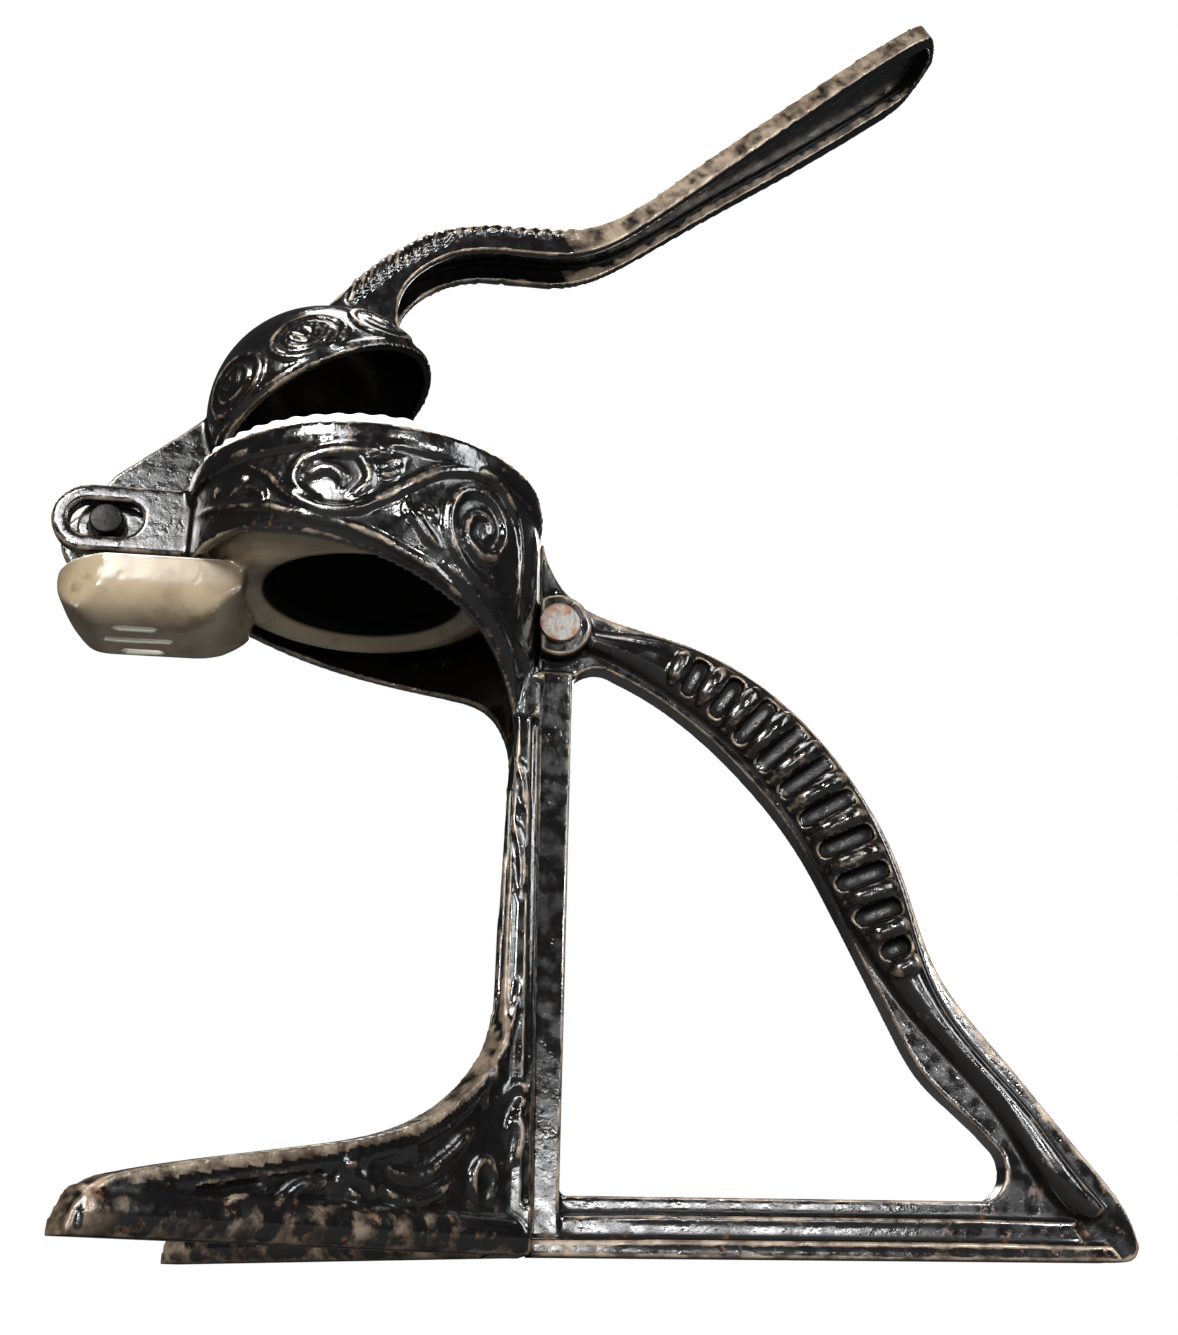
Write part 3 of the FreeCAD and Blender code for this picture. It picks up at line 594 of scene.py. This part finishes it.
COLUMN_WORK = (
    (((-9.0, 92), (-9.2, 80), (-9.4, 66), (-9.4, 52), (-9.4, 44)), 1.25),
    (((-9.6, 34), (-8.6, 37.2), (-6.6, 38.8), (-4.6, 37.9), (-4.2, 35.5), (-6.0, 33.3)), 1.2),
    (((-8.8, 23.3), (-8.3, 29.1), (-6.7, 31.5), (-5.2, 28.1), (-5.6, 23.5), (-7.2, 20)), 1.2),
    (((-3.4, 112), (-3.4, 90), (-3.6, 67), (-4.0, 50), (-3.6, 42)), 1.1),
    (((-9.0, 106), (-7.0, 99), (-6.2, 92), (-6.6, 84)), 1.2),
    (((-8.6, 122), (-6.4, 116), (-5.6, 108)), 1.2),
)
FRONT_WORK = (
    (((0, 140), (0, 120), (0, 100), (0, 80)), 1.2),
    (((-5, 132), (-7.5, 122), (-5, 112), (-1.5, 108)), 1.2),
    (((-5, 100), (-7.5, 91), (-5, 82), (-1.5, 78)), 1.2),
    (((-5, 70), (-7.5, 61), (-5, 52), (-1.5, 48)), 1.2),
)

# The leg's top edge: distance out from its root, height
LEG_TOP_LINE = ((4.1, 64.0), (8.3, 49.0), (18.6, 37.0), (36.0, 27.0), (65.1, 20.0), (93.0, 15.4), (113.7, 11.3),
                (120.9, 7.2), (124.0, 0.0))


def line_height(line, x):
    """The height of a line of points at x, for one place or for many."""
    return np.interp(x, [p[0] for p in line], [p[1] for p in line])


def stand_rubbing(places):
    """How much each point is rubbed by use: the legs' top edges, toes and lower rims."""
    x, y, z = places.T
    out, over = LEG_ROOT[0] - x, np.abs(y) + LEG_ROOT[1]
    along = out * math.cos(LEG_SPLAY) + over * math.sin(LEG_SPLAY)
    off = np.abs(over * math.cos(LEG_SPLAY) - out * math.sin(LEG_SPLAY))
    on_a_leg = (along > 5.0) & (off < 8.0) & (z < 64.0)
    rubbed = np.zeros(len(x))
    rubbed[on_a_leg & (z > line_height(LEG_TOP_LINE, along) - 2.8)] = 0.85
    rubbed[on_a_leg & (z < 9.5) & (off > 2.3)] = 0.3
    rubbed[on_a_leg & (along > 112.0)] = 0.6
    rubbed[z < 3.5] = np.maximum(rubbed[z < 3.5], 0.4)
    return rubbed


def make_stand():
    stand = merged_copy("bowl_stand", "stand_casting")
    tree = surface(stand)
    work = new_strokes("stand_work")
    for lines, chart, swell in ((HOOD_WORK, on_hood, 1.15), (LEG_WORK, on_leg, 1.1),
                                (COLUMN_WORK, on_side, 1.0), (FRONT_WORK, on_front, 1.0)):
        for points, radius in lines:
            charted(work, tree, chart, points, radius * swell)
    cast_together(stand, work, STAND_VOXEL)
    mark_edges(stand)
    mark(stand, "rubbed", stand_rubbing(points_of(stand) / MM))
    finished(stand, "frame", iron_stand, "bowl_stand")


make_stand()

# Rear brace: the bars between its slots, and the line along its foot

RIDGE = ((3, 163), (24, 157.5), (41, 150.5), (59, 137.5), (73, 121.5), (83, 103), (90, 85), (96, 71), (109, 51),
         (128, 29), (144.5, 7))
# The strut's half width and half thickness at distances along its ridge, and its bars
RIDGE_AT = (0, 20, 38, 60, 90, 120, 138, 155, 185, 215)
RIDGE_HALF_WIDTH = (5, 5.5, 9, 10.5, 11, 10, 7, 4.6, 4.6, 4)
RIDGE_HALF_THICK = (7, 7.4, 8.6, 9.4, 9.6, 9.2, 8.4, 7.4, 7, 6.2)
BAR_LENGTHS = (10, 12.5, 15.5, 17.5, 18.5, 18.5, 17.5, 16.5, 15, 11.5, 8)
BAR_R = 2.6
BAR_SINK = 0.7
FIRST_SLOT_AT = 40.5
SLOT_PITCH = 10.3
FOOT_LINES = ((143, 7.0, 3.3, 0.75), (136, 4.7, 8.9, 0.8))
SHARED_LOOK_UP = 7

ridge = np.array(smooth_line(RIDGE, 0.5))
gone = np.concatenate([[0], np.cumsum(np.linalg.norm(np.diff(ridge, axis=0), axis=1))])


def ridge_place(distance):
    """The ridge's place at a distance along it, and the way across it."""
    x, z = np.interp(distance, gone, ridge[:, 0]), np.interp(distance, gone, ridge[:, 1])
    ahead = np.array([np.interp(distance + 1, gone, ridge[:, 0]) - x,
                      np.interp(distance + 1, gone, ridge[:, 1]) - z])
    ahead /= np.linalg.norm(ahead)
    return x, z, (-ahead[1], ahead[0])


def brace_bar(work, distance, length):
    """One bar between two slots, on each side of the strut."""
    x, z, across = ridge_place(distance)
    half_width = float(np.interp(distance, RIDGE_AT, RIDGE_HALF_WIDTH))
    half_thick = float(np.interp(distance, RIDGE_AT, RIDGE_HALF_THICK))
    for side in (-1, 1):
        places = []
        for share in np.linspace(-1, 1, 15):
            reach = share * min(length / 2.0, half_width * 0.93)
            depth = half_thick * math.sqrt(max(0.0, 1.0 - (reach / half_width) ** 2)) - BAR_SINK
            places.append(Vector((x + across[0] * reach, side * depth, z + across[1] * reach)) * MM)
        stroke(work, places, BAR_R, 0.5)


def brace_rubbing(places, normal):
    """How much each point is rubbed: the strut's outer edge, round the rivet, and the foot."""
    every = places[::SHARED_LOOK_UP, [0, 2]]
    which = np.array([np.argmin((ridge[:, 0] - a) ** 2 + (ridge[:, 1] - b) ** 2) for a, b in every])
    which = np.repeat(which, SHARED_LOOK_UP)[:len(places)]
    ahead = np.gradient(ridge, axis=0)[which]
    ahead /= np.linalg.norm(ahead, axis=1)[:, None]
    dx, dz = places[:, 0] - ridge[which, 0], places[:, 2] - ridge[which, 1]
    outward = -ahead[:, 1] * normal[:, 0] + ahead[:, 0] * normal[:, 2]
    offset = -ahead[:, 1] * dx + ahead[:, 0] * dz
    near = np.hypot(dx, dz) < 16.0
    brim = np.full(len(ridge), -99.0)
    np.maximum.at(brim, which[near], offset[near])
    on_strut = (places[:, 2] > 14.0) * (places[:, 0] > 6.0)
    rubbed = np.where(near & (offset > brim[which] - 2.6), 0.7, 0.0)
    rubbed = np.maximum(rubbed, np.clip(outward - 0.45, 0.0, 0.5) * 1.5) * on_strut
    rubbed[np.hypot(places[:, 0] - BOSS[0], places[:, 2] - BOSS[1]) < 11.0] = 0.45
    rubbed[places[:, 2] < 5.0] = 0.45
    return rubbed


def make_brace():
    brace = merged_copy("rear_brace", "brace_casting")
    work = new_strokes("brace_work")
    for index, length in enumerate(BAR_LENGTHS):
        brace_bar(work, FIRST_SLOT_AT + (index - 0.5) * SLOT_PITCH, length)
    for side in (-1, 1):
        for end, y, z, radius in FOOT_LINES:
            stroke(work, [Vector((x, side * y, z)) * MM for x in np.linspace(1, end, 60)], radius, 0.5)
    cast_together(brace, work, BRACE_VOXEL)
    mark_edges(brace)
    mark(brace, "rubbed", brace_rubbing(points_of(brace) / MM, points_of(brace, "normal")))
    finished(brace, "frame", iron_brace, "rear_brace")


make_brace()

# Press lever: panels on the dome, ropes on the neck

# The neck's and handle's top and lower rim, with the lever pressed down
TOP_LINE = ((-28.7, 224.9), (-12, 229.9), (3, 231.9), (12, 230.8), (22, 227.4), (31, 222.3), (41, 216.6),
            (52, 213.4), (66, 213.6), (88, 217.4), (130, 224.2), (175, 231.6), (199, 235.0))
RIM_LINE = ((-17.5, 213), (-11, 219.3), (-3, 222.3), (6, 222.9), (14, 221), (28, 213.2), (38, 207.8),
            (48, 205.7), (62, 206.4), (88, 210.5), (130, 216.8), (171, 223.4), (199, 227.6))
SWELL_FROM = 46.0
SWELL_RUN = 130.0
HANDLE_WIDER = 1.05
HANDLE_SHALLOWER = 1.2
TIP_FROM = 183.0
TIP_RUN = 16.5
PANEL_TURNS = (45, 90, 135, -45, -90, -135)
ROPE_R = 1.45
ROPE_PITCH = 3.4
PEBBLE_PITCH = 2.0


def pressed_down(co):
    """The lever's points carried back to its pressed-down place, in millimetres."""
    dx, dz = co[:, 0] / MM - PIVOT[0], co[:, 2] / MM - PIVOT[1]
    return (PIVOT[0] + dx * math.cos(OPEN) + dz * math.sin(OPEN),
            PIVOT[1] - dx * math.sin(OPEN) + dz * math.cos(OPEN))


def widen_handle(lever):
    """Widens the handle towards its tip, makes it shallower there, and rounds the tip."""
    alone(lever)
    bpy.ops.object.mode_set(mode="EDIT")
    bpy.ops.mesh.select_all(action="SELECT")
    bpy.ops.mesh.subdivide(number_cuts=1)
    bpy.ops.object.mode_set(mode="OBJECT")
    co = points_of(lever)
    x, z = pressed_down(co)
    swell = np.clip((x - SWELL_FROM) / SWELL_RUN, 0.0, 1.0)
    swell = swell * swell * (3.0 - 2.0 * swell)
    top, rim = line_height(TOP_LINE, x), line_height(RIM_LINE, x)
    deeper = -HANDLE_SHALLOWER * MM * swell * np.clip((top - z) / (top - rim), 0.0, 1.0)
    tip = np.sqrt(np.clip(1.0 - np.clip((x - TIP_FROM) / TIP_RUN, 0.0, 1.0) ** 2, 0.06, 1.0))
    co[:, 0] += deeper * math.sin(OPEN)
    co[:, 1] *= (1.0 + HANDLE_WIDER * swell) * tip
    co[:, 2] -= deeper * math.cos(OPEN)
    move_points(lever, co)


def dome_panel(work, middle):
    """Two ovals and three ribs on the dome."""
    for scale, radius in ((1.0, 1.3), (0.6, 1.0)):
        oval = [on_dome(middle + 18.5 * scale * math.cos(t), 19 + 12.5 * scale * math.sin(t), 0.35)
                for t in np.linspace(0, 2 * math.pi, 48, endpoint=False)]
        stroke(work, oval, radius, closed=True)
    for lean in (-9, 0, 9):
        rib = [on_dome(middle + lean * share, 12.5 + 13 * share, 0.3) for share in np.linspace(0.1, 1, 8)]
        stroke(work, rib, 1.0)


def neck_rope(work, x):
    """One slanting rope over the neck; past the neck's root it stays on the upper side."""
    def rope_point(back, y, rise):
        return x + back, y, float(line_height(TOP_LINE, x + back)) + rise

    half = [rope_point(-6.6, -9.2, -4.6), rope_point(-4.0, -9.3, -2.6), rope_point(-1.8, -8.6, -0.8),
            (x, -6.6, float(line_height(TOP_LINE, x)) + 0.3), rope_point(1.2, -3.5, 0.5)]
    half = half[0 if x < 12.0 else 1:]
    whole = half + [rope_point(1.5, 0.0, 0.55)] + [(a, -b, c) for a, b, c in reversed(half)]
    stroke(work, [swung(*p) for p in smooth_line(whole, 0.8)], ROPE_R, 0.6)


def neck_pebbles(work, x):
    """A row of pebbles across the neck's top, and one low on each side."""
    top = float(line_height(TOP_LINE, x))
    for row, y in enumerate((-7.4, -4.4, -1.4, 1.4, 4.4, 7.4)):
        shift = 1.0 if row % 2 else 0.0
        stroke(work, [swung(x + shift, y, top), swung(x + shift + 0.7, y, top - 0.2)], 0.95, 1.0)
    for side in (-1, 1):
        stroke(work, [swung(x, side * 8.9, top - 2.6), swung(x + 0.7, side * 8.9, top - 2.8)], 1.0, 1.0)


def lever_wear_and_shade(co, normal):
    """How much each point is rubbed: upper sides and walls are worn; below 0 the handle's underside stays unworn
    and free of rust, and the inside of the dome, at -1.5, becomes painted shade.
    """
    x, z = pressed_down(co)
    y = co[:, 1] / MM
    along_x = normal[:, 0] * math.cos(OPEN) + normal[:, 2] * math.sin(OPEN)
    upward = normal[:, 2] * math.cos(OPEN) - normal[:, 0] * math.sin(OPEN)
    rubbed = np.where((x > -30.0) & (upward > 0.5), 0.75, 0.0)
    rubbed = np.where((x > 40.0) & (np.abs(normal[:, 1]) > 0.6), 0.95, rubbed)
    rubbed = np.where((x > 34.0) & (upward < -0.2) & (np.abs(normal[:, 1]) < 0.75), -0.8, rubbed)
    # Painted shade: the inside of the dome is marked -1.5
    reach = np.maximum(np.hypot(x - RING_X, y), 0.1)
    inward = -((x - RING_X) * along_x + y * normal[:, 1]) / reach
    return np.where((reach < 34.0) & ((inward > 0.3) | (upward < -0.5)), -1.5, rubbed)


def make_lever():
    lever = merged_copy("press_lever", "lever_casting")
    widen_handle(lever)
    work = new_strokes("lever_work")
    for middle in PANEL_TURNS:
        dome_panel(work, middle)
    stroke(work, [on_dome(t, 4.6, 0.45) for t in range(0, 360, 3)], 0.9, closed=True)
    for index in range(21):
        neck_rope(work, -23.0 + index * ROPE_PITCH)
    for index in range(15):
        neck_pebbles(work, 16.0 + index * PEBBLE_PITCH)
    cast_together(lever, work, LEVER_VOXEL)
    mark_edges(lever)
    mark(lever, "rubbed", lever_wear_and_shade(points_of(lever), points_of(lever, "normal")))
    finished(lever, "lever", iron_lever, "press_lever")


make_lever()

# Juice cup: the glazed ware, with the small scallops of its rim

SPOUT_FROM_X = -79.0
SPOUT_TOP = 168.5
SCALLOPS = 52
SCALLOP_DEPTH = 0.016
CONE_HOLLOW_R = 28.3


def soften_spout(cup):
    """Softens the spout, but not the walls of its drain slots."""
    x, y, z = (points_of(cup) / MM).T
    at_drains = (np.abs(x - DRAIN_X) < 11.5) & (np.abs(y) < 10.8) & (z < 159.5)
    soften_part(cup, (x < SPOUT_FROM_X) & (z < SPOUT_TOP) & ~at_drains, 34)


def scallop_rim(cup):
    """Draws the rim in and out by a little, all the way round."""
    co = points_of(cup)
    reach = np.hypot(co[:, 0] - RING_X * MM, co[:, 1]) / MM
    turn = np.arctan2(co[:, 1], co[:, 0] - RING_X * MM)
    on_rim = (reach > 46.0) & (co[:, 2] > 198.2 * MM)
    share = np.where(on_rim, 1.0 - SCALLOP_DEPTH * (0.5 + 0.5 * np.cos(turn * SCALLOPS)), 1.0)
    co[:, 0] = RING_X * MM + (co[:, 0] - RING_X * MM) * share
    co[:, 1] = co[:, 1] * share
    move_points(cup, co)
    return co, reach


def make_cup():
    cup = merged_copy("juice_cup", "cup_ware")
    cast_together(cup, None, CUP_VOXEL)
    soften_spout(cup)
    co, reach = scallop_rim(cup)
    mark_edges(cup)
    normal = points_of(cup, "normal")
    x, y, z = (co / MM).T
    # Painted shade: marks the underside of the hollow under the cone, which the glaze makes near-black
    under_cone = (reach < CONE_HOLLOW_R) & (normal[:, 2] < 0.25) & (z > 170.2)
    mark(cup, "painted_hollow_shade", np.where(under_cone, np.clip((CONE_HOLLOW_R - reach) / 0.8, 0.0, 1.0), 0.0))
    # Painted light: marks the walls of the drain slots, which the glaze makes near-white
    from_slot = np.abs((y + DRAIN_PITCH / 2) % DRAIN_PITCH - DRAIN_PITCH / 2)
    in_slot = (np.abs(x - DRAIN_X) < 9.4) & (np.abs(y) < 9.8) & (from_slot < 1.7)
    mark(cup, "drain", np.where(in_slot & (z < 160.0) & (z > 154.7), 1.0, 0.0))
    finished(cup, "frame", ware, "juice_cup")


make_cup()

# Rivet: domed heads

def make_rivet():
    rivet = merged_copy("brace_rivet", "rivet_heads")
    cast_together(rivet, None, RIVET_VOXEL, 9)
    finished(rivet, "frame", rivet_steel, "brace_rivet")


make_rivet()

# Hinge pin: a steel rod with broken edges

def make_pin():
    bpy.ops.object.select_all(action="DESELECT")
    bpy.ops.mesh.primitive_cylinder_add(vertices=72, radius=PIN_R * MM, depth=PIN_LENGTH * MM,
                                        location=(PIVOT[0] * MM, 0, PIVOT[1] * MM),
                                        rotation=(math.pi / 2, 0, 0))
    pin = bpy.context.object
    pin.name = "pin_rod"
    bpy.ops.object.transform_apply(location=True, rotation=True, scale=True)
    bpy.ops.object.mode_set(mode="EDIT")
    bpy.ops.mesh.select_all(action="SELECT")
    bpy.ops.mesh.bevel(offset=0.7 * MM, segments=4, affect="EDGES")
    bpy.ops.mesh.select_all(action="SELECT")
    bpy.ops.mesh.normals_make_consistent(inside=False)
    bpy.ops.object.mode_set(mode="OBJECT")
    bpy.ops.object.shade_smooth_by_angle(angle=math.radians(35))
    finished(pin, "pin", pin_steel, "hinge_pin")


make_pin()

# Floor: pale paper, see-through from below because the picture is taken from under its level

FLOOR_SIZE = 4.0
PAPER_SEEN = (0.88, 0.88, 0.88, 1.0)
PAPER_REFLECTED = (0.14, 0.14, 0.14, 1.0)


def make_paper():
    paper = bpy.data.materials.new("pale_paper")
    paper.use_nodes = True
    tree = paper.node_tree
    tree.nodes.clear()
    diffuse = node(tree, "ShaderNodeBsdfDiffuse")
    path = node(tree, "ShaderNodeLightPath")
    link(tree, mixed(tree, path.outputs["Is Camera Ray"], PAPER_REFLECTED, PAPER_SEEN), diffuse.inputs["Color"])
    clear = node(tree, "ShaderNodeBsdfTransparent")
    mixer = node(tree, "ShaderNodeMixShader")
    behind = node(tree, "ShaderNodeNewGeometry")
    output = node(tree, "ShaderNodeOutputMaterial")
    link(tree, behind.outputs["Backfacing"], mixer.inputs[0])
    link(tree, diffuse.outputs[0], mixer.inputs[1])
    link(tree, clear.outputs[0], mixer.inputs[2])
    link(tree, mixer.outputs[0], output.inputs[0])
    return paper


def make_floor():
    bpy.ops.object.select_all(action="DESELECT")
    bpy.ops.mesh.primitive_plane_add(size=FLOOR_SIZE, location=(0, 0, 0))
    floor = bpy.context.object
    floor.name = "paper_floor"
    floor.data.materials.append(make_paper())


make_floor()

# World: white for the camera, dim for the light on the object

def make_world():
    world = bpy.data.worlds.new("studio")
    scene.world = world
    world.use_nodes = True
    tree = world.node_tree
    tree.nodes.clear()
    seen = node(tree, "ShaderNodeBackground", {"Color": (1.0, 1.0, 1.0, 1.0), "Strength": 1.0})
    dim = node(tree, "ShaderNodeBackground", {"Color": (0.9, 0.95, 1.0, 1.0), "Strength": 0.05})
    ray = node(tree, "ShaderNodeLightPath")
    mixer = node(tree, "ShaderNodeMixShader")
    output = node(tree, "ShaderNodeOutputWorld")
    link(tree, ray.outputs["Is Camera Ray"], mixer.inputs[0])
    link(tree, dim.outputs[0], mixer.inputs[1])
    link(tree, seen.outputs[0], mixer.inputs[2])
    link(tree, mixer.outputs[0], output.inputs[0])


make_world()


# Lights: place, aim, width and height in metres, power in watts

def area_light(name, place, aim, width, height, power, colour=(1.0, 1.0, 1.0)):
    data = bpy.data.lights.new(name, "AREA")
    data.shape = "RECTANGLE"
    data.size = width
    data.size_y = height
    data.energy = power
    data.color = colour
    obj = bpy.data.objects.new(name, data)
    scene.collection.objects.link(obj)
    obj.location = place
    way = Vector(aim) - Vector(place)
    obj.rotation_euler = way.to_track_quat("-Z", "Y").to_euler()
    obj.visible_camera = False


area_light("key_soft", (-0.55, -0.75, 0.70), (0.0, 0.0, 0.2), 0.30, 0.30, 12.0, (1.0, 0.98, 0.95))
area_light("fill_right", (0.85, -0.50, 0.55), (0.0, 0.0, 0.15), 0.22, 0.60, 6.0, (0.95, 0.98, 1.0))
area_light("top_soft", (0.0, 0.1, 1.15), (0.0, 0.0, 0.2), 0.5, 0.5, 7.0)
area_light("front_soft", (-0.34, -0.85, 0.50), (0.0, 0.0, 0.2), 0.22, 0.22, 3.0)
area_light("glint_left", (-0.45, -0.85, 0.25), (0.0, 0.0, 0.2), 0.07, 0.07, 3.0)
area_light("glint_middle", (0.30, -0.95, 0.62), (0.0, 0.0, 0.2), 0.06, 0.06, 2.6)
area_light("glint_right", (0.50, -0.80, 0.30), (0.0, 0.0, 0.15), 0.07, 0.07, 3.0)
area_light("glint_low", (0.15, -0.70, 0.05), (0.0, 0.0, 0.2), 0.30, 0.03, 1.2)
area_light("back_soft", (0.2, 0.9, 0.6), (0.0, 0.0, 0.2), 0.5, 0.5, 5.0)

# Camera: at the picture's place, a little under the level of the floor

CAMERA_PLACE = (-0.0421, -0.3989, -0.0122)
CAMERA_TURN = 7.790
CAMERA_TILT = -22.454
CAMERA_ROLL = 0.281
SENSOR = 36.0
FOCAL_SHARE = 1560.46 / 1335.0


def make_camera():
    turn, tilt, roll = math.radians(CAMERA_TURN), math.radians(CAMERA_TILT), math.radians(CAMERA_ROLL)
    ahead = Vector((math.sin(turn) * math.cos(tilt), math.cos(turn) * math.cos(tilt), -math.sin(tilt)))
    right = Vector((math.cos(turn), -math.sin(turn), 0))
    up = right.cross(ahead)
    right_rolled = right * math.cos(roll) + up * math.sin(roll)
    up_rolled = up * math.cos(roll) - right * math.sin(roll)
    data = bpy.data.cameras.new("picture_camera")
    data.sensor_width = SENSOR
    data.lens = FOCAL_SHARE * SENSOR
    data.clip_start = 0.01
    camera = bpy.data.objects.new("picture_camera", data)
    scene.collection.objects.link(camera)
    axes = Matrix((right_rolled, up_rolled, -ahead)).transposed().to_4x4()
    camera.matrix_world = Matrix.Translation(Vector(CAMERA_PLACE)) @ axes
    scene.camera = camera


make_camera()
scene.view_settings.view_transform = "Standard"
